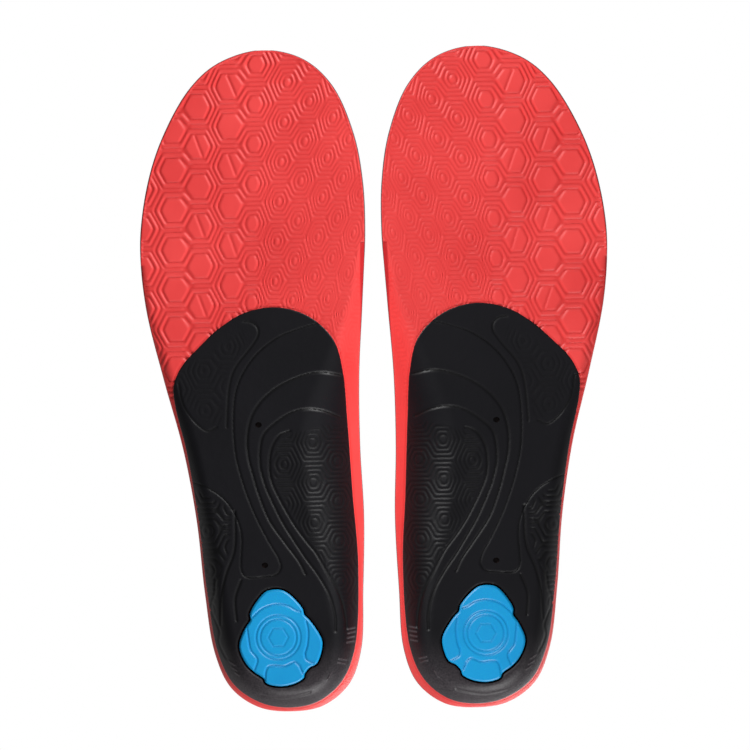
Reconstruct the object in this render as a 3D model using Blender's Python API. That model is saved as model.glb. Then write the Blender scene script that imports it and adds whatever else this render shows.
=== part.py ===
"""A pair of cushioned insoles, as worn: right foot at +X, toes towards +Y, foot bed up, in metres.

Each insole is a bonded stack. From the foot down it has a textile top cover, a comfort foam and a
moulded base foam. Let into the underside of the base foam are a stabiliser shell, a torsion plate
that continues the shell on the outer side and in front, and a gel heel pad in a window of the shell.

The shapes are drawn in millimetres for the right insole: x runs outwards from the plane between the
two feet, v runs from the heel tip to the toe tip. MM turns millimetres into metres. The left insole
is the mirror image of the right one.
"""

import math

import bmesh
import bpy
import numpy as np

MM = 0.001

# Driving dimensions, in millimetres
LENGTH = 275.0
FOREFOOT_THICKNESS = 4.2
COVER_THICKNESS = 0.7
COMFORT_THICKNESS = 1.0
SHELL_THICKNESS = 1.3
PAD_THICKNESS = 3.6
PIN_HOLE_RADIUS = 1.35
BOND_GAP = 0.25  # stands for the glue line between two layers
SIDE_GAP = 0.3  # around a piece that is let into another
RECESS_GAP = 0.5  # above the shell, in the recess of the base foam
INNER_NOTCH = 195.0  # where the moulded side wall ends and the flat trim zone starts
OUTER_NOTCH = 187.0
WALL_CURVE = 2.2  # how sharply the side walls turn up: 2 is a parabola
FOOT_BED_EXTRA = 4.0  # the hollow of the foot bed starts this much further in than the wall below

# How finely the layers are divided: rows from heel to toe, columns from side to side
LAYER_ROWS, LAYER_COLUMNS = 26, 12
SHELL_ROWS, SHELL_COLUMNS = 24, 10

# Outlines as (x, v), starting at the heel and going up the outer side
OUTLINE = [
    (38.0, 0.0), (52.0, 2.0), (63.4, 10.2), (69.8, 24.6), (73.4, 50.0), (76.0, 80.0), (80.8, 110.0),
    (88.3, 140.0), (94.9, 170.0), (96.5, 195.0), (93.0, 220.0), (86.2, 240.0), (74.4, 260.0),
    (62.6, 270.0), (44.5, 275.0), (27.8, 271.0), (16.1, 260.0), (7.7, 240.0), (4.3, 220.0),
    (3.8, 198.0), (5.4, 170.0), (7.4, 140.0), (7.7, 110.0), (6.7, 80.0), (7.7, 50.0), (9.1, 25.0),
    (14.4, 10.8), (25.2, 2.1),
]
SHELL_OUTLINE = [
    (39.5, 1.8), (50.5, 3.9), (61.8, 11.5), (68.4, 24.6), (72.5, 50.0), (75.3, 80.0), (79.7, 110.0),
    (83.9, 129.0), (84.1, 137.0), (80.8, 144.6), (73.2, 152.8), (64.6, 160.5), (54.5, 166.4),
    (43.0, 168.6), (32.8, 166.9), (24.2, 162.2), (17.0, 153.8), (13.8, 141.0), (12.5, 122.0),
    (10.9, 90.0), (9.2, 60.0), (11.6, 25.0), (17.6, 11.8), (28.0, 3.8),
]
# The plate's share of the shell's area; its front and outer sides run outside the shell's outline
PLATE_REGION = [
    (49.0, 57.0), (55.5, 57.0), (57.6, 59.4), (57.4, 75.0), (60.2, 83.8), (65.4, 90.6), (73.2, 95.4),
    (83.0, 99.0), (92.0, 120.0), (92.0, 148.0), (72.0, 172.0), (44.0, 178.0), (22.0, 170.0),
    (20.0, 163.2), (29.5, 160.2), (39.8, 156.4), (49.0, 149.8), (55.4, 141.4), (58.5, 133.6),
    (59.7, 122.0), (59.1, 108.4), (56.3, 96.0), (51.6, 82.8), (46.1, 71.4), (42.2, 64.4),
    (41.4, 60.6), (43.4, 57.8),
]
PAD_OUTLINE = [
    (43.0, 11.5), (48.5, 13.0), (49.4, 14.9), (53.3, 17.7), (56.7, 21.4), (59.3, 28.5), (56.8, 35.5),
    (54.4, 39.1), (54.5, 42.0), (49.7, 49.2), (46.9, 51.2), (41.4, 51.4), (38.1, 49.6), (32.8, 43.6),
    (32.0, 40.8), (30.1, 38.9), (25.6, 32.0), (24.8, 28.5), (27.3, 20.6), (30.4, 18.9), (32.5, 16.3),
    (32.9, 14.7), (36.9, 12.4),
]
SHELL_PIN_HOLE = (49.3, 120.0)
PLATE_PIN_HOLE = (47.9, 61.8)

# Heights and widths along the length, as (v, value)
INNER_RIM = [(0, 18), (30, 19), (60, 21.5), (90, 24), (115, 23), (140, 16), (165, 8.5), (195, 4.2)]
OUTER_RIM = [(0, 18), (30, 17.5), (60, 15), (90, 12), (120, 9), (150, 5.8), (187, 3.4)]
INNER_WALL = [(0, 12), (30, 13), (60, 19), (90, 27), (115, 27), (140, 18), (165, 8), (195, 2.2)]
OUTER_WALL = [(0, 12), (30, 11), (60, 10), (90, 8), (120, 7), (150, 5), (187, 2.2)]
EDGE_THICKNESS = [(0, 4), (130, 4), (187, 2.7), (275, 2.7)]
MIDDLE_THICKNESS = [(0, 8.5), (40, 8), (80, 8), (120, 6.8), (160, 5.0), (190, 4.2), (275, 4.2)]

COLOURS = {
    "top_cover": (0.045, 0.047, 0.055, 0.95),
    "comfort_foam": (0.10, 0.10, 0.11, 0.9),
    "base_foam": (0.86, 0.055, 0.055, 0.6),
    "stabiliser_shell": (0.010, 0.010, 0.011, 0.42),
    "torsion_plate": (0.012, 0.012, 0.013, 0.38),
    "heel_pad": (0.02, 0.30, 0.72, 0.35),
}


def smooth_loop(points, steps):
    """Points along the closed centripetal Catmull-Rom curve through the given ones."""
    corners = np.array(points, float)
    count = len(corners)
    loop = []
    for i in range(count):
        before, start, end, after = (corners[(i + k) % count] for k in (-1, 0, 1, 2))
        span_in = math.sqrt(math.dist(before, start))
        span = math.sqrt(math.dist(start, end))
        span_out = math.sqrt(math.dist(end, after))
        leave = end - start + span * ((start - before) / span_in - (end - before) / (span_in + span))
        arrive = end - start + span * ((after - end) / span_out - (after - start) / (span + span_out))
        for step in range(steps):
            t = step / steps
            loop.append(
                (2 * t**3 - 3 * t**2 + 1) * start
                + (t**3 - 2 * t**2 + t) * leave
                + (3 * t**2 - 2 * t**3) * end
                + (t**3 - t**2) * arrive
            )
    return np.array(loop)


def grown(loop, by):
    """The loop moved outwards by a distance, along its normals."""
    along_loop = np.roll(loop, -1, axis=0) - np.roll(loop, 1, axis=0)
    outwards = np.column_stack([along_loop[:, 1], -along_loop[:, 0]])
    return loop + by * outwards / np.linalg.norm(outwards, axis=1)[:, None]


def sides(loop):
    """The inner and the outer side of a loop, each as points from heel to toe."""
    from_heel = np.roll(loop, -loop[:, 1].argmin(), axis=0)
    toe = from_heel[:, 1].argmax()
    outer = from_heel[: toe + 1]
    inner = np.vstack([from_heel[toe:], from_heel[:1]])[::-1]
    return inner, outer


def x_at(side, v):
    return np.interp(v, side[:, 1], side[:, 0])


def along(table, v):
    """A smooth curve through a table of (v, value), read at v."""
    stations, values = np.array(table, float).T
    slopes = np.gradient(values, stations)
    v = np.clip(v, stations[0], stations[-1])
    i = np.clip(np.searchsorted(stations, v) - 1, 0, len(stations) - 2)
    step = stations[i + 1] - stations[i]
    t = (v - stations[i]) / step
    return (
        (2 * t**3 - 3 * t**2 + 1) * values[i]
        + (t**3 - 2 * t**2 + t) * step * slopes[i]
        + (3 * t**2 - 2 * t**3) * values[i + 1]
        + (t**3 - t**2) * step * slopes[i + 1]
    )


EDGE = smooth_loop(OUTLINE, 12)
EDGE_INNER, EDGE_OUTER = sides(EDGE)


def distance_in(x, v):
    """How far a point lies from the insole's edge."""
    spans = np.roll(EDGE, -1, axis=0) - EDGE
    reach = np.column_stack([x, v])[:, None, :] - EDGE[None, :, :]
    t = np.clip((reach * spans).sum(2) / (spans**2).sum(1), 0, 1)
    return np.linalg.norm(reach - t[..., None] * spans, axis=2).min(1)


def outer_share(x, v):
    """0 on the inner half, 1 on the outer half, with a smooth change across the middle."""
    inner, outer = x_at(EDGE_INNER, v), x_at(EDGE_OUTER, v)
    t = np.clip((x - inner) / np.maximum(outer - inner, 0.01) * 2 - 0.5, 0, 1)
    return t * t * (3 - 2 * t)


def wall(x, v, extra_width=0.0):
    """How much of the side wall's height a point has: 1 at the edge, 0 inside the wall's foot."""
    share = outer_share(x, v)
    width = along(INNER_WALL, v) * (1 - share) + along(OUTER_WALL, v) * share
    return np.clip(1 - distance_in(x, v) / (width + extra_width), 0, 1) ** WALL_CURVE


def rim_height(x, v):
    share = outer_share(x, v)
    return along(INNER_RIM, v) * (1 - share) + along(OUTER_RIM, v) * share


def under_height(x, v):
    """Height of the underside: flat on the ground, and turned up along the side walls."""
    share = outer_share(x, v)
    walled = v < INNER_NOTCH * (1 - share) + OUTER_NOTCH * share
    return walled * (rim_height(x, v) - along(EDGE_THICKNESS, v)) * wall(x, v)


def foot_bed_height(x, v):
    """Height of the top cover's upper side, with the heel cup and the arch support."""
    middle = along(MIDDLE_THICKNESS, v)
    return middle + (rim_height(x, v) - middle) * wall(x, v, FOOT_BED_EXTRA)


def position(x, v, z):
    """A drawn point in millimetres as a place in the model, in metres."""
    return (x * MM, (v - LENGTH / 2) * MM, z * MM)


def new_object(name, bm):
    mesh = bpy.data.meshes.new(name)
    bmesh.ops.recalc_face_normals(bm, faces=bm.faces)
    bm.to_mesh(mesh)
    bm.free()
    made = bpy.data.objects.new(name, mesh)
    bpy.context.scene.collection.objects.link(made)
    return made


def layer(name, loop, rows, columns, bottom, top):
    """A solid that fills the loop seen from above, between two height functions of x and v."""
    inner, outer = sides(loop)
    heel, toe = loop[:, 1].min(), loop[:, 1].max()
    bm = bmesh.new()
    lower = []
    for row in range(rows + 1):
        v = heel + (toe - heel) * (1 - math.cos(math.pi * row / rows)) / 2
        tip = row in (0, rows)
        across = [0.0] if tip else [math.sin(math.pi * (j / columns - 0.5)) for j in range(columns + 1)]
        middle = (x_at(inner, v) + x_at(outer, v)) / 2
        half = (x_at(outer, v) - x_at(inner, v)) / 2
        lower.append([bm.verts.new((middle + half * w, v, 0.0)) for w in across])
    for first, second in zip(lower, lower[1:]):
        for j in range(columns):
            corners = [first[min(j, len(first) - 1)], first[min(j + 1, len(first) - 1)]]
            corners += [second[min(j + 1, len(second) - 1)], second[min(j, len(second) - 1)]]
            bm.faces.new(dict.fromkeys(corners))
    sheet = bm.faces[:]
    raised = bmesh.ops.extrude_face_region(bm, geom=sheet, use_keep_orig=True)["geom"]
    upper = {vert for vert in raised if isinstance(vert, bmesh.types.BMVert)}
    places = np.array([vert.co[:2] for vert in bm.verts])
    low, high = bottom(*places.T), top(*places.T)
    for i, vert in enumerate(bm.verts):
        vert.co = position(*places[i], high[i] if vert in upper else low[i])
    return new_object(name, bm)


def prism(name, loop, low, high):
    """An upright block over a loop."""
    bm = bmesh.new()
    base = bm.faces.new([bm.verts.new(position(x, v, low)) for x, v in loop])
    raised = bmesh.ops.extrude_face_region(bm, geom=[base], use_keep_orig=True)["geom"]
    for vert in raised:
        if isinstance(vert, bmesh.types.BMVert):
            vert.co.z = high * MM
    return new_object(name, bm)


def pin(name, place):
    """A cutter for a pin hole."""
    turns = [2 * math.pi * k / 16 for k in range(16)]
    ring = [
        (place[0] + PIN_HOLE_RADIUS * math.cos(a), place[1] + PIN_HOLE_RADIUS * math.sin(a)) for a in turns
    ]
    return prism(name, ring, -2, SHELL_THICKNESS + 2)


def cut(target, operation, *tools):
    """Applies Booleans to the target and removes their tools."""
    for tool in tools:
        modifier = target.modifiers.new(operation.lower(), "BOOLEAN")
        modifier.operation = operation
        modifier.object = tool
    bpy.context.view_layer.update()
    result = target.evaluated_get(bpy.context.evaluated_depsgraph_get())
    mesh = bpy.data.meshes.new_from_object(result)
    target.modifiers.clear()
    target.data = mesh
    for tool in tools:
        bpy.data.objects.remove(tool)
    return target


def shell_blank(name, side_gap=0.0, below=0.0, above=0.0):
    """The area of shell and plate together, let into the underside; the gaps turn it into a cutter."""
    return layer(
        name,
        grown(smooth_loop(SHELL_OUTLINE, 8), side_gap),
        SHELL_ROWS,
        SHELL_COLUMNS,
        lambda x, v: under_height(x, v) - below,
        lambda x, v: under_height(x, v) + SHELL_THICKNESS + above,
    )


def make_top_cover():
    return layer(
        "top_cover",
        EDGE,
        LAYER_ROWS,
        LAYER_COLUMNS,
        lambda x, v: foot_bed_height(x, v) - COVER_THICKNESS,
        foot_bed_height,
    )


def make_comfort_foam():
    drop = COVER_THICKNESS + BOND_GAP
    return layer(
        "comfort_foam",
        EDGE,
        LAYER_ROWS,
        LAYER_COLUMNS,
        lambda x, v: foot_bed_height(x, v) - drop - COMFORT_THICKNESS,
        lambda x, v: foot_bed_height(x, v) - drop,
    )


def make_base_foam():
    """The moulded full-length foam, with the recess of the shell and the pocket of the heel pad."""
    drop = COVER_THICKNESS + COMFORT_THICKNESS + 2 * BOND_GAP
    foam = layer(
        "base_foam",
        EDGE,
        LAYER_ROWS,
        LAYER_COLUMNS,
        under_height,
        lambda x, v: foot_bed_height(x, v) - drop,
    )
    recess = shell_blank("recess", SIDE_GAP, below=3.0, above=RECESS_GAP)
    pocket = prism("pocket", grown(smooth_loop(PAD_OUTLINE, 3), SIDE_GAP), -2, PAD_THICKNESS + BOND_GAP)
    return cut(foam, "DIFFERENCE", recess, pocket)


def make_stabiliser_shell():
    shell = shell_blank("stabiliser_shell")
    plate_room = prism("plate_room", grown(smooth_loop(PLATE_REGION, 3), SIDE_GAP), -2, 30)
    pad_window = prism("pad_window", grown(smooth_loop(PAD_OUTLINE, 3), SIDE_GAP), -2, 30)
    return cut(shell, "DIFFERENCE", plate_room, pad_window, pin("shell_pin", SHELL_PIN_HOLE))


def make_torsion_plate():
    plate = shell_blank("torsion_plate")
    plate = cut(plate, "INTERSECT", prism("plate_area", smooth_loop(PLATE_REGION, 3), -2, 30))
    return cut(plate, "DIFFERENCE", pin("plate_pin", PLATE_PIN_HOLE))


def make_heel_pad():
    """The gel pad: its foot is flush with the shell, its lobed edge is slightly bevelled."""
    pad = prism("heel_pad", smooth_loop(PAD_OUTLINE, 3), 0, PAD_THICKNESS)
    bevel = pad.modifiers.new("edge", "BEVEL")
    bevel.width = 0.4 * MM
    bevel.segments = 1
    bevel.limit_method = "ANGLE"
    bevel.angle_limit = math.radians(60)
    return cut(pad, "DIFFERENCE")


def material(name):
    red, green, blue, roughness = COLOURS[name]
    made = bpy.data.materials.new(name)
    made.use_nodes = True
    shader = made.node_tree.nodes["Principled BSDF"]
    shader.inputs["Base Color"].default_value = (red, green, blue, 1.0)
    shader.inputs["Roughness"].default_value = roughness
    shader.inputs["Metallic"].default_value = 0.0
    return made


def mirrored(piece, name):
    """The same piece of the other foot."""
    mesh = piece.data.copy()
    for vert in mesh.vertices:
        vert.co.x = -vert.co.x
    mesh.flip_normals()
    made = bpy.data.objects.new(name, mesh)
    bpy.context.scene.collection.objects.link(made)
    return made


def main():
    for old in list(bpy.data.objects):
        bpy.data.objects.remove(old)
    feet = {}
    for foot in ("right", "left"):
        feet[foot] = bpy.data.objects.new(foot + "_insole", None)
        bpy.context.scene.collection.objects.link(feet[foot])
    makers = (
        make_top_cover,
        make_comfort_foam,
        make_base_foam,
        make_stabiliser_shell,
        make_torsion_plate,
        make_heel_pad,
    )
    for make in makers:
        piece = make()
        kind = piece.name
        piece.name = "right_" + kind
        piece.data.materials.clear()
        piece.data.materials.append(material(kind))
        piece.data.shade_smooth()
        piece.data.set_sharp_from_angle(angle=math.radians(35))
        piece.parent = feet["right"]
        mirrored(piece, "left_" + kind).parent = feet["left"]


main()
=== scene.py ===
import math

import bmesh
import bpy
import numpy as np
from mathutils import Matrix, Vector


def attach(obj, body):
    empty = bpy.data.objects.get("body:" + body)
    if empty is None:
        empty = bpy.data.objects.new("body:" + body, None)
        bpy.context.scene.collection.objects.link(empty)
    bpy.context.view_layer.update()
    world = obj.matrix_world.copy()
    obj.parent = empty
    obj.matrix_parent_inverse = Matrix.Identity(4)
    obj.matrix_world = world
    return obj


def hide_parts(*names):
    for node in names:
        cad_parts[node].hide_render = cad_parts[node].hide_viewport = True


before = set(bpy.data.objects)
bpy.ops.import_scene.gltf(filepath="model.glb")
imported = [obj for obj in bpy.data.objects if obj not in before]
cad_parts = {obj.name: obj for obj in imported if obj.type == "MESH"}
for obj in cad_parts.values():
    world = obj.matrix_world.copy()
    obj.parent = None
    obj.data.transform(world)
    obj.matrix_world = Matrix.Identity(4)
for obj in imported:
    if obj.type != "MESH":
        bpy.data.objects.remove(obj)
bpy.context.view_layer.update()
mm = 0.001
print("frame loaded")

# The right insole is drawn in millimetres as (x, v): x runs outwards from the plane between the
# two feet, v runs from the heel tip to the toe tip. The left insole is its mirror image.

studio = {
    "cameraDistance": 1.7,
    "pictureWidth": 0.3106,  # what the camera takes in at the height of the soles
    "aim": (0.0006, 0.0021),
    "roll": 1.25,
    "surround": 0.14,  # the grey that the soles see; the backdrop itself is white
    "above": 0.4,
    "keyPower": 19.0,
    "heelPower": 15.0,
    "topPower": 6.0,
}


feet = {foot: bpy.data.collections.new(foot + "Insole") for foot in ("right", "left")}


def areaLight(name, place, size, power, lights=None):
    data = bpy.data.lights.new(name, "AREA")
    data.shape = "DISK"
    data.size = size
    data.energy = power
    light = bpy.data.objects.new(name, data)
    light.location = place
    light.rotation_euler = (-Vector(place)).to_track_quat("-Z", "Y").to_euler()  # towards the pair
    light.visible_camera = False
    if lights is not None:
        light.light_linking.receiver_collection = lights
    bpy.context.scene.collection.objects.link(light)


def makeStudio():
    camData = bpy.data.cameras.new("camera")
    camData.sensor_width = 36
    camData.lens = 36 * studio["cameraDistance"] / studio["pictureWidth"]
    camData.clip_end = 50
    camera = bpy.data.objects.new("camera", camData)
    # looks up at the soles, toes at the top of the picture
    camera.location = (*studio["aim"], -studio["cameraDistance"])
    camera.rotation_euler = (math.pi, 0, math.pi + math.radians(studio["roll"]))
    bpy.context.scene.collection.objects.link(camera)
    bpy.context.scene.camera = camera

    # each insole has its own key light from the toe end, above the gap between the two
    areaLight("keyBelowLeft", (0.75, 0.8, -0.75), 0.5, studio["keyPower"], lights=feet["left"])
    areaLight("keyBelowRight", (-0.75, 0.8, -0.75), 0.5, studio["keyPower"], lights=feet["right"])
    areaLight("heelBelow", (-0.35, -1.2, -0.5), 0.7, studio["heelPower"])
    areaLight("softTop", (-0.4, -0.6, 1.1), 0.9, studio["topPower"])

    world = bpy.data.worlds.new("studioWhite")
    world.use_nodes = True
    nodes, links = world.node_tree.nodes, world.node_tree.links
    toward, split = nodes.new("ShaderNodeTexCoord"), nodes.new("ShaderNodeSeparateXYZ")
    level, ray = nodes.new("ShaderNodeMapRange"), nodes.new("ShaderNodeLightPath")
    seen = nodes.new("ShaderNodeMix")
    level.inputs["From Min"].default_value, level.inputs["From Max"].default_value = -0.1, 0.25
    level.inputs["To Min"].default_value = studio["surround"]
    level.inputs["To Max"].default_value = studio["above"]
    seen.inputs["B"].default_value = 1.0
    links.new(toward.outputs["Generated"], split.inputs[0])
    links.new(split.outputs["Z"], level.inputs["Value"])
    links.new(level.outputs[0], seen.inputs["A"])
    links.new(ray.outputs["Is Camera Ray"], seen.inputs["Factor"])
    links.new(seen.outputs[0], nodes["Background"].inputs["Strength"])
    nodes["Background"].inputs["Color"].default_value = (1, 1, 1, 1)
    bpy.context.scene.world = world
    bpy.context.scene.view_settings.view_transform = "Standard"

    # the floor shows from above only, and lets the light from below through
    bm = bmesh.new()
    bmesh.ops.create_grid(bm, x_segments=1, y_segments=1, size=6)
    bmesh.ops.translate(bm, verts=bm.verts, vec=(0, 0, -0.0006))
    mesh = bpy.data.meshes.new("floor")
    bm.to_mesh(mesh)
    bm.free()
    floor = bpy.data.objects.new("floor", mesh)
    bpy.context.scene.collection.objects.link(floor)
    floor.visible_shadow = False
    floor.visible_diffuse = False
    floor.visible_glossy = False
    floor.visible_transmission = False
    made = bpy.data.materials.new("paleFloor")
    made.use_nodes = True
    nodes, links = made.node_tree.nodes, made.node_tree.links
    nodes["Principled BSDF"].inputs["Base Color"].default_value = (0.3, 0.3, 0.3, 1)
    nodes["Principled BSDF"].inputs["Emission Color"].default_value = (1, 1, 0.99, 1)
    nodes["Principled BSDF"].inputs["Emission Strength"].default_value = 0.5
    nodes["Principled BSDF"].inputs["Roughness"].default_value = 0.9
    side = nodes.new("ShaderNodeNewGeometry")
    clear = nodes.new("ShaderNodeBsdfTransparent")
    mix = nodes.new("ShaderNodeMixShader")
    links.new(side.outputs["Backfacing"], mix.inputs[0])
    links.new(nodes["Principled BSDF"].outputs[0], mix.inputs[1])
    links.new(clear.outputs[0], mix.inputs[2])
    links.new(mix.outputs[0], nodes["Material Output"].inputs["Surface"])
    mesh.materials.append(made)


makeStudio()
print("camera, lights and floor ready")

# curves and heights that all layers share
insole = {
    "length": 275.0,
    "outline": [
        (38.0, 0.0), (52.0, 2.0), (63.4, 10.2), (69.8, 24.6), (73.4, 50.0), (76.0, 80.0),
        (80.8, 110.0), (88.3, 140.0), (94.9, 170.0), (96.5, 195.0), (93.0, 220.0), (86.2, 240.0),
        (74.4, 260.0), (62.6, 270.0), (44.5, 275.0), (27.8, 271.0), (16.1, 260.0), (7.7, 240.0),
        (4.3, 220.0), (3.8, 198.0), (5.4, 170.0), (7.4, 140.0), (7.7, 110.0), (6.7, 80.0),
        (7.7, 50.0), (9.1, 25.0), (14.4, 10.8), (25.2, 2.1),
    ],
    "innerNotch": 195.0,  # the side walls end here
    "outerNotch": 187.0,
    "wallCurve": 2.2,
    "bedExtra": 4.0,
    "innerRim": [(0, 18), (30, 19), (60, 21.5), (90, 24), (115, 23), (140, 16), (165, 8.5), (195, 4.2)],
    "outerRim": [(0, 18), (30, 17.5), (60, 15), (90, 12), (120, 9), (150, 5.8), (187, 3.4)],
    "innerWall": [(0, 12), (30, 13), (60, 19), (90, 27), (115, 27), (140, 18), (165, 8), (195, 2.2)],
    "outerWall": [(0, 12), (30, 11), (60, 10), (90, 8), (120, 7), (150, 5), (187, 2.2)],
    "edge": [(0, 4), (130, 4), (187, 2.7), (275, 2.7)],
    "middle": [(0, 8.5), (40, 8), (80, 8), (120, 6.8), (160, 5.0), (190, 4.2), (275, 4.2)],
}


def smoothLine(points, steps, closed=False):
    # a centripetal Catmull-Rom curve through the points
    p = np.array(points, float)
    if closed:
        p = np.vstack([p[-1:], p, p[:2]])
    else:
        p = np.vstack([2 * p[:1] - p[1:2], p, 2 * p[-1:] - p[-2:-1]])
    line = []
    for a, b, c, d in zip(p, p[1:], p[2:], p[3:]):
        ab, bc, cd = (math.sqrt(math.dist(*pair)) for pair in ((a, b), (b, c), (c, d)))
        leave = c - b + bc * ((b - a) / ab - (c - a) / (ab + bc))
        arrive = c - b + bc * ((d - c) / cd - (d - b) / (bc + cd))
        for step in range(steps):
            t = step / steps
            line.append(
                (2 * t**3 - 3 * t**2 + 1) * b + (t**3 - 2 * t**2 + t) * leave
                + (3 * t**2 - 2 * t**3) * c + (t**3 - t**2) * arrive
            )
    if not closed:
        line.append(p[-2])
    return np.array(line)


def grown(loop, by):
    run = np.roll(loop, -1, axis=0) - np.roll(loop, 1, axis=0)
    out = np.column_stack([run[:, 1], -run[:, 0]])
    return loop + by * out / np.linalg.norm(out, axis=1)[:, None]


def sidesOf(loop):
    fromHeel = np.roll(loop, -loop[:, 1].argmin(), axis=0)
    toe = fromHeel[:, 1].argmax()
    return np.vstack([fromHeel[toe:], fromHeel[:1]])[::-1], fromHeel[: toe + 1]


def along(table, v):
    stations, values = np.array(table, float).T
    slopes = np.gradient(values, stations)
    v = np.clip(v, stations[0], stations[-1])
    i = np.clip(np.searchsorted(stations, v) - 1, 0, len(stations) - 2)
    step = stations[i + 1] - stations[i]
    t = (v - stations[i]) / step
    return (
        (2 * t**3 - 3 * t**2 + 1) * values[i] + (t**3 - 2 * t**2 + t) * step * slopes[i]
        + (3 * t**2 - 2 * t**3) * values[i + 1] + (t**3 - t**2) * step * slopes[i + 1]
    )


def distanceTo(loop, x, v):
    starts = np.asarray(loop, np.float32)
    spans = np.roll(starts, -1, axis=0) - starts
    points = np.column_stack([x, v]).astype(np.float32)
    found = np.empty(len(points))
    for first in range(0, len(points), 8000):
        reach = points[first : first + 8000, None, :] - starts
        t = np.clip((reach * spans).sum(2) / (spans**2).sum(1), 0, 1)
        found[first : first + 8000] = np.sqrt(((reach - t[..., None] * spans) ** 2).sum(2).min(1))
    return found


def insideOf(loop, x, v):
    inside = np.zeros(len(x), bool)
    for (x0, v0), (x1, v1) in zip(loop, np.roll(loop, -1, axis=0)):
        if v0 != v1:
            crossing = ((v0 > v) != (v1 > v)) & (x < x0 + (v - v0) * (x1 - x0) / (v1 - v0))
            inside ^= crossing
    return inside


def depthIn(loop, x, v):
    # distance from the loop, positive inside it
    return distanceTo(loop, x, v) * np.where(insideOf(loop, x, v), 1, -1)


def smoothStep(t):
    t = np.clip(t, 0, 1)
    return t * t * (3 - 2 * t)


insoleEdge = smoothLine(insole["outline"], 12, closed=True)
innerEdge, outerEdge = sidesOf(insoleEdge)


def outerShare(x, v):
    low = np.interp(v, innerEdge[:, 1], innerEdge[:, 0])
    high = np.interp(v, outerEdge[:, 1], outerEdge[:, 0])
    return smoothStep((x - low) / np.maximum(high - low, 0.01) * 2 - 0.5)


def blendSides(inner, outer, share, v):
    return along(insole[inner], v) * (1 - share) + along(insole[outer], v) * share


def heights(x, v):
    # the underside and the foot bed above a point
    share = outerShare(x, v)
    depth = distanceTo(insoleEdge, x, v)
    width = blendSides("innerWall", "outerWall", share, v)
    rim = blendSides("innerRim", "outerRim", share, v)
    walled = v < insole["innerNotch"] * (1 - share) + insole["outerNotch"] * share
    under = walled * (rim - along(insole["edge"], v)) * np.clip(1 - depth / width, 0, 1) ** insole["wallCurve"]
    middle = along(insole["middle"], v)
    bed = middle + (rim - middle) * np.clip(1 - depth / (width + insole["bedExtra"]), 0, 1) ** insole["wallCurve"]
    return under, bed


def rowsAlong(start, end, spacing, arc):
    # denser at the round ends, so that the outline stays smooth there
    endRadius = 35
    ends = [(k * arc) ** 2 / (2 * endRadius) for k in range(int(spacing * endRadius / arc**2))]
    rows = [start + e for e in ends]
    v = rows[-1]
    while v + spacing < end - ends[-1]:
        v += spacing
        rows.append(v)
    return rows + [end - e for e in reversed(ends)]


def layerPiece(name, loop, rows, spacing, topStride, surfaces, profile, arc=1.0):
    # a closed layer over a loop. surfaces(x, v) gives its lower and upper side, profile the
    # rim as (share of the height, distance outwards), from the lower side to the upper one.
    start, end = loop[:, 1].min(), loop[:, 1].max()
    rows = np.array(rows)
    spots, tags, counts = [], [], []

    def strip(out, across, share, tag):
        own = grown(loop, out)
        inner, outer = sidesOf(own)
        low, high = own[:, 1].min(), own[:, 1].max()
        v = low + (rows - start) * (high - low) / (end - start)
        xi, xo = np.interp(v, inner[:, 1], inner[:, 0]), np.interp(v, outer[:, 1], outer[:, 0])
        xi[0] = xo[0] = (xi[0] + xo[0]) / 2
        xi[-1] = xo[-1] = (xi[-1] + xo[-1]) / 2
        w = (across + 1) / 2
        x = (xi[:, None] * (1 - w) + xo[:, None] * w).ravel()
        v = np.repeat(v, len(across))
        lower, upper = surfaces(x, v)
        first = sum(counts)
        spots.append(np.column_stack([x, v, lower + share * (upper - lower)]))
        tags.append(np.full(len(x), tag))
        counts.append(len(x))
        return first + np.arange(len(x)).reshape(len(rows), len(across))

    inner, outer = sidesOf(loop)
    columns = max(topStride, round((outer[:, 0].max() - inner[:, 0].min()) / spacing))
    columns -= columns % topStride
    u = np.linspace(-1, 1, columns + 1)
    across = 0.75 * u + 0.25 * np.sin(u * math.pi / 2)
    under = strip(profile[0][1], across, 0.0, 1.0)
    rim = [strip(out, np.array([-1.0, 1.0]), share, 0.0) for share, out in profile[1:-1]]
    upper = strip(profile[-1][1], across[::topStride], 1.0, 0.0)

    def quads(grid, turned):
        a, b, c, d = grid[:-1, :-1], grid[1:, :-1], grid[1:, 1:], grid[:-1, 1:]
        return np.stack([a, d, c, b] if turned else [a, b, c, d], axis=-1).reshape(-1, 4)

    innerWall = np.column_stack([under[:, 0]] + [r[:, 0] for r in rim] + [upper[:, 0]])
    outerWall = np.column_stack([under[:, -1]] + [r[:, 1] for r in rim] + [upper[:, -1]])
    faces = np.vstack([
        quads(under, False), quads(upper, True), quads(innerWall, True), quads(outerWall, False),
    ])
    points = np.vstack(spots)
    points[:, 1] -= insole["length"] / 2
    mesh = bpy.data.meshes.new(name)
    mesh.from_pydata((points * mm).tolist(), [], faces.tolist())
    tag = mesh.attributes.new("under", "FLOAT", "POINT")
    tag.data.foreach_set("value", np.concatenate(tags))
    bm = bmesh.new()
    bm.from_mesh(mesh)
    bmesh.ops.remove_doubles(bm, verts=bm.verts, dist=1e-7)
    bmesh.ops.recalc_face_normals(bm, faces=bm.faces)
    bm.to_mesh(mesh)
    bm.free()
    piece = bpy.data.objects.new(name, mesh)
    bpy.context.scene.collection.objects.link(piece)
    return piece


def drawnPlace(piece):
    co = np.empty(len(piece.data.vertices) * 3)
    piece.data.vertices.foreach_get("co", co)
    co = co.reshape(-1, 3) / mm
    return co[:, 0], co[:, 1] + insole["length"] / 2


def setMask(piece, name, values):
    made = piece.data.attributes.new(name, "FLOAT", "POINT")
    made.data.foreach_set("value", np.asarray(values, float))


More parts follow.
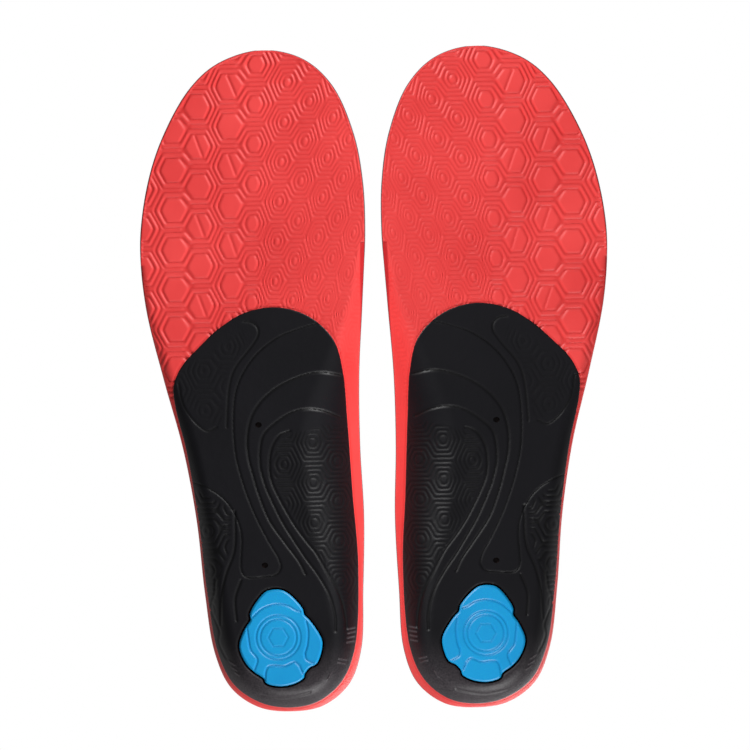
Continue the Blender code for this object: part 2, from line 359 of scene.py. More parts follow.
def guideLines(name, lines):
    # bare edges in the drawing plane, which the groove tree measures from
    points, edges = [], []
    for line in lines:
        first = len(points)
        points += [((x * mm), (v - insole["length"] / 2) * mm, 0) for x, v in line]
        edges += [(first + k, first + k + 1) for k in range(len(line) - 1)]
    mesh = bpy.data.meshes.new(name)
    mesh.from_pydata(points, edges, [])
    made = bpy.data.objects.new(name, mesh)
    bpy.context.scene.collection.objects.link(made)
    return made


def closedLine(loop):
    return np.vstack([loop, loop[:1]])


class Term:  # a socket of a node tree that can be used in a formula
    def __init__(self, tree, socket):
        self.tree, self.socket = tree, socket

    def op(self, operation, *others):
        node = self.tree.nodes.new("ShaderNodeMath")
        node.operation = operation
        for slot, value in zip(node.inputs, (self, *others)):
            if isinstance(value, Term):
                self.tree.links.new(value.socket, slot)
            else:
                slot.default_value = value
        return Term(self.tree, node.outputs[0])

    def __add__(self, other):
        return self.op("ADD", other)

    def __sub__(self, other):
        return self.op("SUBTRACT", other)

    def __mul__(self, other):
        return self.op("MULTIPLY", other)

    def __truediv__(self, other):
        return self.op("DIVIDE", other)

    def lowest(self, other):
        return self.op("MINIMUM", other)

    def highest(self, other):
        return self.op("MAXIMUM", other)

    def size(self):
        return self.op("ABSOLUTE")

    def nearest(self):
        return (self + 0.5).op("FLOOR")

    def below(self, other):
        return self.op("LESS_THAN", other)

    def mix(self, other, share):
        return self + (other - self) * share

    def bump(self):  # 1 at 0, falling smoothly to 0 at 1 and beyond
        rest = (self.op("MULTIPLY", -1.0) + 1.0).highest(0.0).lowest(1.0)
        return rest * rest * (rest.op("MULTIPLY", -2.0) + 3.0)


def newTree(name, numbers, objects=()):
    tree = bpy.data.node_groups.new(name, "GeometryNodeTree")
    face = tree.interface
    face.new_socket("Geometry", in_out="INPUT", socket_type="NodeSocketGeometry")
    face.new_socket("Material", in_out="INPUT", socket_type="NodeSocketMaterial")
    for label in objects:
        face.new_socket(label, in_out="INPUT", socket_type="NodeSocketObject")
    for label, value in numbers.items():
        face.new_socket(label, in_out="INPUT", socket_type="NodeSocketFloat").default_value = value
    face.new_socket("Geometry", in_out="OUTPUT", socket_type="NodeSocketGeometry")
    start = tree.nodes.new("NodeGroupInput")
    return tree, start


def endTree(tree, start, groove, depth):
    # moves the underside into the piece by the groove's depth and keeps the groove for the material
    nodes, links = tree.nodes, tree.links
    tag = nodes.new("GeometryNodeInputNamedAttribute")
    tag.data_type = "FLOAT"
    tag.inputs["Name"].default_value = "under"
    groove = groove * Term(tree, tag.outputs["Attribute"])
    old = nodes.new("GeometryNodeInputNamedAttribute")
    old.data_type = "FLOAT"
    old.inputs["Name"].default_value = "groove"
    store = nodes.new("GeometryNodeStoreNamedAttribute")
    store.data_type = "FLOAT"
    store.domain = "POINT"
    store.inputs["Name"].default_value = "groove"
    links.new(start.outputs["Geometry"], store.inputs["Geometry"])
    links.new(groove.highest(Term(tree, old.outputs["Attribute"])).socket, store.inputs["Value"])
    lift = nodes.new("ShaderNodeCombineXYZ")
    links.new((groove * depth * mm).socket, lift.inputs["Z"])
    move = nodes.new("GeometryNodeSetPosition")
    links.new(store.outputs["Geometry"], move.inputs["Geometry"])
    links.new(lift.outputs[0], move.inputs["Offset"])
    realize = nodes.new("GeometryNodeRealizeInstances")
    coat = nodes.new("GeometryNodeSetMaterial")
    end = nodes.new("NodeGroupOutput")
    links.new(move.outputs["Geometry"], realize.inputs["Geometry"])
    links.new(realize.outputs["Geometry"], coat.inputs["Geometry"])
    links.new(start.outputs["Material"], coat.inputs["Material"])
    links.new(coat.outputs["Geometry"], end.inputs["Geometry"])
    return tree


def drawnTerms(tree):
    where = tree.nodes.new("GeometryNodeInputPosition")
    split = tree.nodes.new("ShaderNodeSeparateXYZ")
    tree.links.new(where.outputs[0], split.inputs[0])
    x = Term(tree, split.outputs["X"]) / mm
    return x, Term(tree, split.outputs["Y"]) / mm + insole["length"] / 2


def hexagonTree():
    # hexagons in columns that interlock in pairs: two grooves wind side by side between the two
    # columns of a pair, and more rings lie inside the hexagons
    tree, start = newTree("hexagonEmboss", {
        "Depth": 0.3, "Groove Width": 1.4, "Row Pitch": 16.46, "First Column": 83.0, "First Row": 242.5,
        "Pair Pitch": 24.85, "Pitch Change": 1.277, "Fan": 0.0035, "Fewest Rings": 0.0, "Slashes": 1.0,
    })
    ask = lambda label: Term(tree, start.outputs[label])
    x, v = drawnTerms(tree)
    x = x - ((x * -1.0 + 61.3) * ask("Fan")).highest(0.0) * (v * -1.0 + 222.0)  # columns fan out inwards
    pitch, change, rowPitch = ask("Pair Pitch"), ask("Pitch Change"), ask("Row Pitch")
    root = (pitch * pitch - change * 4.0 * (ask("First Column") - x)).highest(1.0).op("SQRT")
    n = (pitch - root) / (change * 2.0)  # which pair of columns, counted inwards
    columnPitch = pitch - change * 2.0 * n
    half = rowPitch * 0.5

    def cell(shift, rowShift, slant):
        index = (n - shift).nearest()
        up = (v - ask("First Row") - rowShift - index * slant) / rowPitch
        row = up.nearest()
        return index, row, (n - shift - index) * columnPitch, (up - row) * rowPitch

    def hexagon(toPartner, dy):
        # 0 in the middle, 1 halfway to the next row; wider towards the partner's column
        wide = (toPartner / 0.47).highest(toPartner / -0.355) / columnPitch
        slanted = wide + (dy * dy + 0.6).op("SQRT") * 0.5 / half
        return (dy.size() / half).op("SMOOTH_MAX", slanted, 0.12)

    indexA, rowA, dxA, dyA = cell(0.0, 0.0, 1.33)
    indexB, rowB, dxB, dyB = cell(0.474, -6.86, 0.67)
    step = (n * -0.027 + 0.27).highest(0.215).lowest(0.27)
    middle = step * -0.5 + 0.888
    insideA = (hexagon(dxA, dyA) * -1.0 + middle).highest(-0.2)
    insideB = (hexagon(dxB * -1.0, dyB) * -1.0 + middle).highest(-0.2)
    partners = (indexA - indexB).size().below(0.5)
    share = ((dxA - columnPitch * 0.237) / 5.2 + 0.5).highest(0.0).lowest(1.0)
    side = insideA.highest(insideB).mix(insideA.mix(insideB * -1.0, share), partners)
    ringsA = (indexA - 1.5).op("SIGN") + 1.0  # the inner columns have more rings
    rings = ringsA.mix(indexB, insideA.below(insideB)).highest(ask("Fewest Rings")).lowest(2.0)
    away = side.size() / step - 0.5
    ring = away.nearest().highest(0.0).lowest(rings)
    width = ask("Groove Width") * 0.5
    groove = ((away - ring).size() * step * half / width).bump()

    def slash(index, wanted, row, every, offset, dx, dy):
        # a slanted cut across some hexagons of a column
        off = (dx * 0.94 + dy * 0.34).size() / (width * 0.9)
        reach = (dy.size() - 4.6).highest(0.0) * 2.0
        chosen = (index - wanted).size().below(0.5)
        turn = ((row + offset) / every).op("FRACT").below(0.1)
        return (off + reach).bump() * chosen * turn

    cuts = slash(indexB, 0.0, rowB, 2.0, 0.05, dxB, dyB).highest(
        slash(indexA, 1.0, rowA, 2.0, 1.05, dxA - 1.6, dyA)
    )
    cuts = cuts * ask("Slashes") * 0.75
    groove = groove * (n * -0.17 + 1.15).lowest(1.0)  # shallower inwards
    mask = tree.nodes.new("GeometryNodeInputNamedAttribute")
    mask.data_type = "FLOAT"
    mask.inputs["Name"].default_value = "hexMask"
    groove = groove.highest(cuts) * Term(tree, mask.outputs["Attribute"])
    return endTree(tree, start, groove, ask("Depth"))


def grooveTree():
    # a groove along every edge of a guide, measured in the drawing plane
    tree, start = newTree("guidedGroove", {"Depth": 0.3, "Groove Width": 0.9}, ["Guide"])
    where = tree.nodes.new("GeometryNodeInputPosition")
    flat = tree.nodes.new("ShaderNodeVectorMath")
    flat.operation = "MULTIPLY"
    flat.inputs[1].default_value = (1, 1, 0)
    tree.links.new(where.outputs[0], flat.inputs[0])
    guide = tree.nodes.new("GeometryNodeObjectInfo")
    tree.links.new(start.outputs["Guide"], guide.inputs["Object"])
    near = tree.nodes.new("GeometryNodeProximity")
    near.target_element = "EDGES"
    tree.links.new(guide.outputs["Geometry"], near.inputs["Geometry"])
    tree.links.new(flat.outputs[0], near.inputs["Sample Position"])
    width = Term(tree, start.outputs["Groove Width"]) * 0.5
    groove = (Term(tree, near.outputs["Distance"]) / mm / width).bump()
    return endTree(tree, start, groove, Term(tree, start.outputs["Depth"]))


hexagonEmboss, guidedGroove = hexagonTree(), grooveTree()


def runTree(piece, tree, values):
    modifier = piece.modifiers.new(tree.name, "NODES")
    modifier.node_group = tree
    for item in tree.interface.items_tree:
        if item.in_out == "INPUT" and item.name in values:
            modifier[item.identifier] = values[item.name]


def settle(piece):
    # turns the modifiers' result into the piece's own plain mesh
    bpy.context.view_layer.update()
    result = piece.evaluated_get(bpy.context.evaluated_depsgraph_get())
    mesh = bpy.data.meshes.new_from_object(result)
    piece.modifiers.clear()
    piece.data = mesh
    return piece


def cutGrooves(piece, material, cuts):
    # cuts are (name, lines, (width, depth)); a negative depth makes ridges
    guides = []
    for name, lines, (width, depth) in cuts:
        guides.append(guideLines(name, lines))
        runTree(piece, guidedGroove, {
            "Material": material, "Guide": guides[-1], "Groove Width": width, "Depth": depth,
        })
    settle(piece)
    for guide in guides:
        bpy.data.objects.remove(guide)


def cutAway(piece, loops, operation="DIFFERENCE"):
    tools = []
    for k, loop in enumerate(loops):
        bm = bmesh.new()
        spots = [bm.verts.new((x * mm, (v - insole["length"] / 2) * mm, -0.004)) for x, v in loop]
        raised = bmesh.ops.extrude_face_region(bm, geom=[bm.faces.new(spots)], use_keep_orig=True)["geom"]
        for vert in raised:
            if isinstance(vert, bmesh.types.BMVert):
                vert.co.z = 0.03
        bmesh.ops.recalc_face_normals(bm, faces=bm.faces)
        mesh = bpy.data.meshes.new(f"cutter{k}")
        bm.to_mesh(mesh)
        bm.free()
        tool = bpy.data.objects.new(mesh.name, mesh)
        bpy.context.scene.collection.objects.link(tool)
        cut = piece.modifiers.new(tool.name, "BOOLEAN")
        cut.operation = operation
        cut.object = tool
        tools.append(tool)
    settle(piece)
    for tool in tools:
        bpy.data.objects.remove(tool)


def finishPair(piece, kind, body="root", soft=None, angle=35):
    # shades the right piece, makes the left one and ties both to the frame
    piece.data.shade_smooth()
    piece.data.set_sharp_from_angle(angle=math.radians(angle))
    mesh = piece.data.copy()
    co = np.empty(len(mesh.vertices) * 3, np.float32)
    mesh.vertices.foreach_get("co", co)
    co[::3] *= -1
    mesh.vertices.foreach_set("co", co)
    mesh.flip_normals()
    twin = bpy.data.objects.new(piece.name.replace("right", "left"), mesh)
    bpy.context.scene.collection.objects.link(twin)
    for made, foot in ((piece, "right"), (twin, "left")):
        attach(made, body)
        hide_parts(f"{foot}_{kind}")
        feet[foot].objects.link(made)
        if soft:
            soft(made)
    print(kind, "made,", len(piece.data.polygons), "faces each")


def newMaterial(name, roughness, **sockets):
    made = bpy.data.materials.new(name)
    made.use_nodes = True
    shader = made.node_tree.nodes["Principled BSDF"]
    shader.inputs["Roughness"].default_value = roughness
    for label, value in sockets.items():
        shader.inputs[label.replace("_", " ")].default_value = value
    return made, made.node_tree.nodes, made.node_tree.links, shader


def noise(nodes, links, scale, detail):
    coordinates = nodes.new("ShaderNodeTexCoord")
    texture = nodes.new("ShaderNodeTexNoise")
    texture.inputs["Scale"].default_value = scale
    texture.inputs["Detail"].default_value = detail
    links.new(coordinates.outputs["Object"], texture.inputs["Vector"])
    return texture.outputs["Fac"]


def colourBetween(nodes, links, share, dark, light):
    ramp = nodes.new("ShaderNodeValToRGB")
    for stop, position, colour in zip(ramp.color_ramp.elements, (0.3, 0.7), (dark, light)):
        stop.position, stop.color = position, (*colour, 1)
    links.new(share, ramp.inputs["Fac"])
    return ramp.outputs["Color"]


def darkened(nodes, links, colour, share, tint):
    mix = nodes.new("ShaderNodeMix")
    mix.data_type = "RGBA"
    mix.blend_type = "MULTIPLY"
    links.new(share, mix.inputs["Factor"])
    links.new(colour, mix.inputs["A"])
    mix.inputs["B"].default_value = (*tint, 1)
    return mix.outputs["Result"]


def bumped(nodes, links, shader, height, strength, distance, below=None):
    bump = nodes.new("ShaderNodeBump")
    bump.inputs["Strength"].default_value = strength
    bump.inputs["Distance"].default_value = distance
    links.new(height, bump.inputs["Height"])
    if below is not None:
        links.new(below, bump.inputs["Normal"])
    links.new(bump.outputs["Normal"], shader.inputs["Normal"])
    return bump.outputs["Normal"]


def mouldedMaterial(name, dark, light, roughness, grooveShadeTint, grain, grainDepth, **sockets):
    # a moulded surface: slow colour changes, grooves darkened as painted shade and a fine grain. Glued areas
    # under the shell are painted black, as glue and as painted shade, and the strips at the notches get painted
    # shade.
    made, nodes, links, shader = newMaterial(name, roughness, **sockets)
    colour = colourBetween(nodes, links, noise(nodes, links, 28.0, 4.0), dark, light)
    # painted shade: grooves, the notch strips and the foam under the shell are darkened in the colour
    tints = {"groove": grooveShadeTint, "glued": (0.02, 0.02, 0.02), "shade": (0.6, 0.2, 0.28)}
    for label, tint in tints.items():
        share = nodes.new("ShaderNodeAttribute")
        share.attribute_name = label
        colour = darkened(nodes, links, colour, share.outputs["Fac"], tint)
    links.new(colour, shader.inputs["Base Color"])
    slow = bumped(nodes, links, shader, noise(nodes, links, grain / 8, 2.0), 0.25, grainDepth * 4)
    bumped(nodes, links, shader, noise(nodes, links, grain, 4.0), 0.5, grainDepth, below=slow)
    return made


foam = {  # the moulded foam, with the layers above it
    "cover": 0.7,
    "comfort": 1.0,
    "gap": 0.25,
    "spacing": 0.48,
    "rearSpacing": 1.3,
    "rim": [(0.0, -0.3), (0.14, 0.0), (0.5, 0.1), (1.0, 0.0)],
    "hexDepth": 0.5,
    "grooveWidth": 1.8,
    "roughness": 0.52,
    "seatGap": 0.45,  # the groove around the shell
    "seat": (0.9, 0.25),
    "dark": (0.78, 0.041, 0.040),
    "light": (0.90, 0.062, 0.059),
}
shellDesign = {
    "outline": [
        (39.5, 1.8), (50.5, 3.9), (61.8, 11.5), (68.4, 24.6), (72.5, 50.0), (75.3, 80.0),
        (79.7, 110.0), (83.9, 129.0), (84.1, 137.0), (80.8, 144.6), (73.2, 152.8), (64.6, 160.5),
        (54.5, 166.4), (43.0, 168.6), (32.8, 166.9), (24.2, 162.2), (17.0, 153.8), (13.8, 141.0),
        (12.5, 122.0), (10.9, 90.0), (9.2, 60.0), (11.6, 25.0), (17.6, 11.8), (28.0, 3.8),
    ],
    "thickness": 1.3,
    "proud": 0.2,  # how far it stands out of the foam
    "spacing": 0.4,
    "rim": [(0.0, -0.4), (0.1, -0.12), (0.35, 0.0), (1.0, 0.0)],
    "dark": (0.0020, 0.0018, 0.0034),
    "light": (0.0038, 0.0035, 0.0056),
    # painted light: the paler colour of the shell's heel and its ticks
    "heelPaintedLight": (0.085, 0.072, 0.080),
    "roughness": 0.46,
}
plateDesign = {
    # its share of the shell's area; the front and outer sides run outside the shell
    "region": [
        (49.0, 57.0), (55.5, 57.0), (57.6, 59.4), (57.4, 75.0), (60.2, 83.8), (65.4, 90.6),
        (73.2, 95.4), (83.0, 99.0), (92.0, 120.0), (92.0, 148.0), (72.0, 172.0), (44.0, 178.0),
        (22.0, 170.0), (20.0, 163.2), (29.5, 160.2), (39.8, 156.4), (49.0, 149.8), (55.4, 141.4),
        (58.5, 133.6), (59.7, 122.0), (59.1, 108.4), (56.3, 96.0), (51.6, 82.8), (46.1, 71.4),
        (42.2, 64.4), (41.4, 60.6), (43.4, 57.8),
    ],
    "seam": 0.1,  # the gap to the shell
}
padDesign = {
    "outline": [
        (43.0, 11.5), (48.5, 13.0), (49.4, 14.9), (53.3, 17.7), (56.7, 21.4), (59.3, 28.5),
        (56.8, 35.5), (54.4, 39.1), (54.5, 42.0), (49.7, 49.2), (46.9, 51.2), (41.4, 51.4),
        (38.1, 49.6), (32.8, 43.6), (32.0, 40.8), (30.1, 38.9), (25.6, 32.0), (24.8, 28.5),
        (27.3, 20.6), (30.4, 18.9), (32.5, 16.3), (32.9, 14.7), (36.9, 12.4),
    ],
    "thickness": 3.6,
    "room": 0.75,  # between the pad and the edge of its window
    "spacing": 0.28,
    "rim": [(0.0, -0.8), (0.08, -0.35), (0.2, 0.0), (1.0, 0.0)],
}
shellLoop = smoothLine(shellDesign["outline"], 8, closed=True)
plateLoop = smoothLine(plateDesign["region"], 6, closed=True)
padLoop = smoothLine(padDesign["outline"], 4, closed=True)
padWindow = grown(padLoop, padDesign["room"])
# the cover stands over a little at the forefoot
coverLoop = grown(insoleEdge, 0.2 * smoothStep((insoleEdge[:, 1] - 185) / 15)[:, None])


def notchPaintedShade(x, v):
    # painted shade on the steep strip along the edge, where a side wall ends
    depth = distanceTo(insoleEdge, x, v)
    inner = 0.3 + 1.4 * smoothStep((v - 160) / 35)
    outer = 0.6 * smoothStep((v - 165) / 20)
    strip = np.where(x < 45, inner * (v < insole["innerNotch"]), outer * (v < insole["outerNotch"]))
    return smoothStep((strip - depth) / 0.5 + 0.5) * smoothStep((v - 148) / 15)


def foamSurfaces(x, v):
    under, bed = heights(x, v)
    under = under + shellDesign["proud"] * smoothStep((185 - v) / 12)
    rear = v < 170
    inShell, inPad = np.full(len(x), -9.0), np.full(len(x), -9.0)
    inShell[rear] = depthIn(shellLoop, x[rear], v[rear])
    inPad[rear] = depthIn(padLoop, x[rear], v[rear])
    room = shellDesign["thickness"] + foam["gap"] - shellDesign["proud"]
    under = under + room * smoothStep((inShell - 0.5) / 0.5)
    under = under + (padDesign["thickness"] - shellDesign["thickness"]) * smoothStep((inPad + 0.7) / 0.5)
    return under, bed - foam["cover"] - foam["comfort"] - 2 * foam["gap"]


def makeFoam():
    material = mouldedMaterial(
        "redFoam", foam["dark"], foam["light"], foam["roughness"], (0.85, 0.6, 0.6), 2600.0, 0.00005,
        Subsurface_Weight=0.04, Subsurface_Radius=(0.002, 0.0006, 0.0005), Subsurface_Scale=0.5,
    )
    rows = [v for v in rowsAlong(0, insole["length"], foam["rearSpacing"], 1.0) if v < 120]
    rows += [v for v in rowsAlong(0, insole["length"], foam["spacing"], 1.0) if v >= 120]
    piece = layerPiece(
        "rightBaseFoam", insoleEdge, rows, foam["spacing"], 20, foamSurfaces, foam["rim"],
    )
    x, v = drawnPlace(piece)
    fromEdge = smoothStep((distanceTo(insoleEdge, x, v) - 0.2) / 0.8)
    setMask(piece, "hexMask", fromEdge * smoothStep((v - 105) / 25))
    # the foam under the shell is painted black: glue, and painted shade where the shell covers it
    setMask(piece, "glued", smoothStep((depthIn(shellLoop, x, v) - 0.5) / 0.4))
    # painted shade on the strips at the notches
    setMask(piece, "shade", notchPaintedShade(x, v))
    runTree(piece, hexagonEmboss, {
        "Material": material, "Depth": foam["hexDepth"], "Groove Width": foam["grooveWidth"],
    })
    cutGrooves(piece, material, [("seat", [closedLine(grown(shellLoop, foam["seatGap"]))], foam["seat"])])
    finishPair(piece, "base_foam", soft=lambda o: o, angle=50)


makeFoam()

# what is moulded into the stabiliser shell and the torsion plate
grooves = {
    "bands": [
        [(15, 139.9), (23.8, 141.3), (32.9, 139.3), (44, 133.5), (51.4, 125.1), (54, 116.1), (53.9, 107),
         (52, 99), (50.4, 92.9), (45.7, 80.4), (38.5, 69.7), (33.6, 62.8), (31.2, 57.8)],
        [(15.6, 122.3), (22.3, 125.2), (29.5, 126.2), (35.6, 124.8), (42.4, 120.7), (47.4, 115.9),
         (49, 109.3), (48.9, 102), (47.2, 95.3), (46.4, 92.9), (40.7, 80.3), (35.5, 71.5),
         (31.1, 64.5), (26.3, 57.7), (21.5, 48.9), (19.2, 39.5), (19.3, 33.9)],
        [(36.4, 117.2), (40.7, 115.5), (43.8, 111), (45.1, 105), (44.7, 97.7), (43, 92.8), (35.8, 79),
         (31, 72), (26.7, 66.4), (22.5, 58.8), (17.7, 50), (15.4, 40.7), (14.9, 34.4)],
        [(59.9, 84.4), (60.5, 68.3), (64.2, 58.4), (66.2, 49.8), (66.8, 37.3)],
        [(58, 55.8), (60.6, 48.4), (60.2, 39.1)],
        [(50.9, 7.8), (42.2, 6.4), (34.7, 7.5), (30.4, 8.7)],
        [(68.6, 56.4), (69.2, 50.0), (70.6, 46.0), (70.4, 42.0), (68.6, 38.0), (67.3, 34.0), (67.9, 30.6),
         (66.8, 27.0), (64.9, 23.4)],
    ],
    "ticks": [
        [(14.2, 34.3), (11.4, 34.7)], [(14.2, 32.6), (11.4, 33.0)], [(14.4, 30.7), (11.6, 31.1)],
        [(14.6, 28.8), (11.8, 29.2)], [(18.2, 22.3), (15.2, 21.6)], [(18.6, 20.8), (15.8, 20.0)],
        [(21.4, 16.6), (23.0, 13.8)], [(61.3, 20.6), (63.6, 22.0)], [(60.6, 18.4), (62.8, 19.7)],
        [(59.4, 16.2), (61.4, 17.5)],
    ],
    "plate": [
        [(62.5, 119.3), (62, 127.8), (61.3, 135.1), (59.6, 141.7), (57.1, 145.9), (54.6, 148.9),
         (50.8, 153.6), (48.7, 157.3), (48.9, 160.3), (51.2, 162.4), (54.5, 163.0)],
        [(82.2, 137.9), (80.5, 129.4), (78.2, 125.1), (74.6, 120.7), (70.4, 117.9), (66.7, 119.4)],
    ],
    # width and depth
    "bandCut": (1.8, 0.38),
    "plateCut": (1.6, 0.24),
    "tickRidge": (1.1, -0.35),
    "seamCut": (1.5, 0.26),
    "shellHole": (49.3, 120.0),
    "plateHole": (47.9, 61.8),
    "holeRadius": 1.35,
    # where the shell and the plate have hexagons
    "archWindow": [
        (36.4, 117.2), (40.7, 115.5), (43.8, 111), (45.1, 105), (44.7, 97.7), (43, 92.8), (35.8, 79),
        (31, 72), (24, 60), (18, 50), (14, 40), (8, 40), (8, 118), (20, 121),
    ],
    "outerPad": [(62.5, 119), (62, 128), (59.6, 141.7), (52, 154), (54, 162), (90, 140), (82, 130), (70, 118)],
    "outerWindow": [
        (60.2, 86), (61.5, 68.3), (65.2, 58.4), (67.2, 49.8), (67.8, 37.3), (80, 37), (82, 98), (72, 93),
    ],
}


def ring(place, radius, count=24):
    # a pin hole, a little wider than long
    turns = np.arange(count) * 2 * math.pi / count
    return np.column_stack([place[0] + radius * np.cos(turns), place[1] + radius * 0.85 * np.sin(turns)])


def shellSurfaces(x, v):
    under = heights(x, v)[0]
    return under, under + shellDesign["thickness"]


def makeBlank(material):
    # shell and plate are made in one piece with all their relief and then parted along the seam
    start, end = shellLoop[:, 1].min(), shellLoop[:, 1].max()
    piece = layerPiece(
        "blank", shellLoop, rowsAlong(start, end, shellDesign["spacing"], 0.9),
        shellDesign["spacing"], 14, shellSurfaces, shellDesign["rim"],
    )
    x, v = drawnPlace(piece)
    areas = [
        smoothStep(depthIn(np.array(grooves["archWindow"]), x, v) / 2 - 0.2),
        1.2 * smoothStep(depthIn(np.array(grooves["outerWindow"]), x, v) / 2 - 0.2),
        0.4 * smoothStep(depthIn(np.array(grooves["outerPad"]), x, v) / 3 - 0.2),
    ]
    setMask(piece, "hexMask", np.max(areas, axis=0))
    tickDistance = np.min([distanceTo(np.array(tick), x, v) for tick in grooves["ticks"]], axis=0)
    onTick = 1.5 * smoothStep(1 - tickDistance / 0.6)
    # painted light: the heel and the ticks are painted paler
    setMask(piece, "pale", np.maximum(smoothStep((34 - v) / 30), onTick))
    runTree(piece, hexagonEmboss, {
        "Material": material, "Depth": 0.22, "Groove Width": 1.5, "Row Pitch": 16.6, "Pair Pitch": 22.3,
        "Pitch Change": 0.01, "First Column": 71.8, "First Row": 109.6, "Fan": 0.0, "Fewest Rings": 2.0,
        "Slashes": 0.0,
    })
    cutGrooves(piece, material, [
        ("bands", [smoothLine(line, 6) for line in grooves["bands"]], grooves["bandCut"]),
        ("plateLines", [smoothLine(line, 6) for line in grooves["plate"]], grooves["plateCut"]),
        ("ticks", grooves["ticks"], grooves["tickRidge"]),
        ("seam", [closedLine(plateLoop), closedLine(padWindow)], grooves["seamCut"]),
    ])
    return piece


def stippledPaintedLight(material, colour):
    # painted light: the heel of the shell and its ticks are painted paler, with a stipple
    nodes, links = material.node_tree.nodes, material.node_tree.links
    shader = nodes["Principled BSDF"]
    share = nodes.new("ShaderNodeAttribute")
    share.attribute_name = "pale"
    mix = nodes.new("ShaderNodeMix")
    mix.data_type = "RGBA"
    specks = Term(material.node_tree, noise(nodes, links, 1300.0, 1.0))
    links.new((specks * Term(material.node_tree, share.outputs["Fac"])).socket, mix.inputs["Factor"])
    links.new(shader.inputs["Base Color"].links[0].from_socket, mix.inputs["A"])
    mix.inputs["B"].default_value = (*colour, 1)
    links.new(mix.outputs["Result"], shader.inputs["Base Color"])


def makeShellAndPlate(material):
    shell = makeBlank(material)
    plate = shell.copy()
    plate.data = shell.data.copy()
    bpy.context.scene.collection.objects.link(plate)
    shell.name, plate.name = "rightStabiliserShell", "rightTorsionPlate"
    radius = grooves["holeRadius"]
    cutAway(shell, [
        grown(plateLoop, plateDesign["seam"]), padWindow, ring(grooves["shellHole"], radius),
    ])
    cutAway(plate, [plateLoop], "INTERSECT")
    cutAway(plate, [ring(grooves["plateHole"], radius)])
    finishPair(shell, "stabiliser_shell")
    finishPair(plate, "torsion_plate")


shellBlack = mouldedMaterial(
    "satinBlack", shellDesign["dark"], shellDesign["light"], shellDesign["roughness"],
    (0.3, 0.3, 0.3), 1900.0, 0.00009, Specular_IOR_Level=0.32,
)
stippledPaintedLight(shellBlack, shellDesign["heelPaintedLight"])
makeShellAndPlate(shellBlack)

pad = {  # what is moulded into the pad
    "centre": (43.1, 31.8),
    "rings": (9.2, 7.5),
    "emblem": 4.2,
    "lobes": [
        [(53.8, 40.2), (50.1, 43.5), (46.4, 45.1), (42.7, 45.6), (38.8, 44.8), (35.5, 42.9), (33.7, 42.3)],
        [(56, 36), (55.5, 31.5), (54.7, 26.9), (52, 22.9), (53.2, 18.7)],
        [(31.4, 38.3), (30.7, 34), (31.3, 27.9), (32.2, 24.9), (31.7, 22.5), (28.4, 20.6)],
        [(49, 13.7), (48.6, 17.7), (47.5, 19.8), (45.1, 20.2), (40.8, 19.9), (36.6, 21.4), (35.1, 20.4),
         (33.3, 16.7)],
    ],
    # width and depth
    "lobeCut": (1.5, 0.4),
    "ringCut": (1.5, 0.3),
    "emblemCut": (1.2, 0.2),
}


def makePad():
    material = mouldedMaterial(
        "blueGel", (0.002, 0.30, 0.65), (0.003, 0.35, 0.72), 0.44, (0.75, 0.85, 0.9), 1500.0, 0.00003,
        Subsurface_Weight=0.08, Subsurface_Radius=(0.0006, 0.001, 0.002), Subsurface_Scale=0.5,
    )
    start, end = padLoop[:, 1].min(), padLoop[:, 1].max()
    flat = lambda x, v: (np.zeros(len(x)), np.full(len(x), padDesign["thickness"]))
    piece = layerPiece(
        "rightHeelPad", padLoop, rowsAlong(start, end, padDesign["spacing"], 0.4), padDesign["spacing"],
        8, flat, padDesign["rim"],
    )
    centreX, centreV = pad["centre"]

    def around(radius, sides):
        turns = np.linspace(0, 2 * math.pi, sides + 1)
        return [(centreX + radius * math.cos(turn), centreV + radius * math.sin(turn)) for turn in turns]

    cutGrooves(piece, material, [
        ("lobes", [smoothLine(line, 6) for line in pad["lobes"]], pad["lobeCut"]),
        ("circles", [around(radius, 72) for radius in pad["rings"]], pad["ringCut"]),
        ("emblem", [around(pad["emblem"], 6)], pad["emblemCut"]),
    ])
    finishPair(piece, "heel_pad", soft=lambda o: o)


makePad()

upper = {  # the comfort foam and the top cover
    "spacing": 1.3,
    "comfortRim": [(0.0, -0.1), (0.3, 0.05), (0.7, 0.05), (1.0, -0.1)],
    "coverRim": [(0.0, 0.05), (0.25, 0.25), (0.6, 0.25), (1.0, -0.15)],
    "fabricDark": (0.022, 0.023, 0.027),
    "fabricLight": (0.055, 0.058, 0.066),
}


def comfortSurfaces(x, v):
    bed = heights(x, v)[1] - foam["cover"] - foam["gap"]
    return bed - foam["comfort"], bed


def coverSurfaces(x, v):
    bed = heights(x, v)[1]
    return bed - foam["cover"], bed


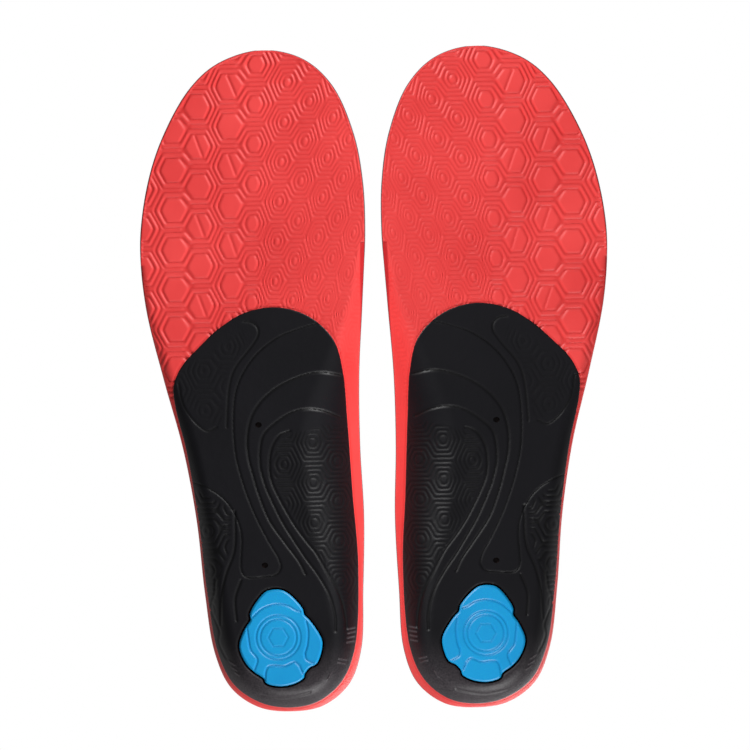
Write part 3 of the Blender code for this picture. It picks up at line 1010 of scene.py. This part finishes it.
def makeComfortFoam():
    made, nodes, links, shader = newMaterial("darkSoftFoam", 0.9)
    cells = noise(nodes, links, 1500.0, 2.0)
    colour = colourBetween(nodes, links, cells, (0.03, 0.03, 0.032), (0.10, 0.10, 0.105))
    links.new(colour, shader.inputs["Base Color"])
    bumped(nodes, links, shader, cells, 0.8, 0.0002)
    piece = layerPiece(
        "rightComfortFoam", coverLoop, rowsAlong(0, insole["length"], upper["spacing"], 0.8),
        upper["spacing"], 2, comfortSurfaces, upper["comfortRim"],
    )
    piece.data.materials.append(made)
    finishPair(piece, "comfort_foam", soft=lambda o: o)


def makeTopCover():
    made, nodes, links, shader = newMaterial("charcoalKnit", 0.85, Sheen_Weight=0.35, Sheen_Roughness=0.4)
    coordinates = nodes.new("ShaderNodeTexCoord")
    split = nodes.new("ShaderNodeSeparateXYZ")
    links.new(coordinates.outputs["Object"], split.inputs[0])
    x, y = Term(made.node_tree, split.outputs["X"]), Term(made.node_tree, split.outputs["Y"])
    # knitted wales: columns of small v shapes
    wale, course = 0.0011, 0.0009
    column = x / wale
    lean = (column - column.nearest()).size() * 1.1
    loopHeight = ((y / course + lean) * (2 * math.pi)).op("SINE") * 0.5 + 0.5
    furrow = (column * (2 * math.pi)).op("COSINE") * 0.5 + 0.5
    height = loopHeight * 0.6 + furrow * 0.4
    speck = noise(nodes, links, 900.0, 2.0)
    shade = Term(made.node_tree, speck) * 0.6 + height * 0.4
    colour = colourBetween(nodes, links, shade.socket, upper["fabricDark"], upper["fabricLight"])
    links.new(colour, shader.inputs["Base Color"])
    bumped(nodes, links, shader, height.socket, 0.7, 0.00025)
    piece = layerPiece(
        "rightTopCover", coverLoop, rowsAlong(0, insole["length"], upper["spacing"], 0.8),
        upper["spacing"], 1, coverSurfaces, upper["coverRim"],
    )
    piece.data.materials.append(made)
    x, v = insoleEdge.T
    size = ((x.max() - x.min()) * mm, insole["length"] * mm)

    def declared(cover):
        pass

    finishPair(piece, "top_cover", soft=declared)


makeComfortFoam()
makeTopCover()
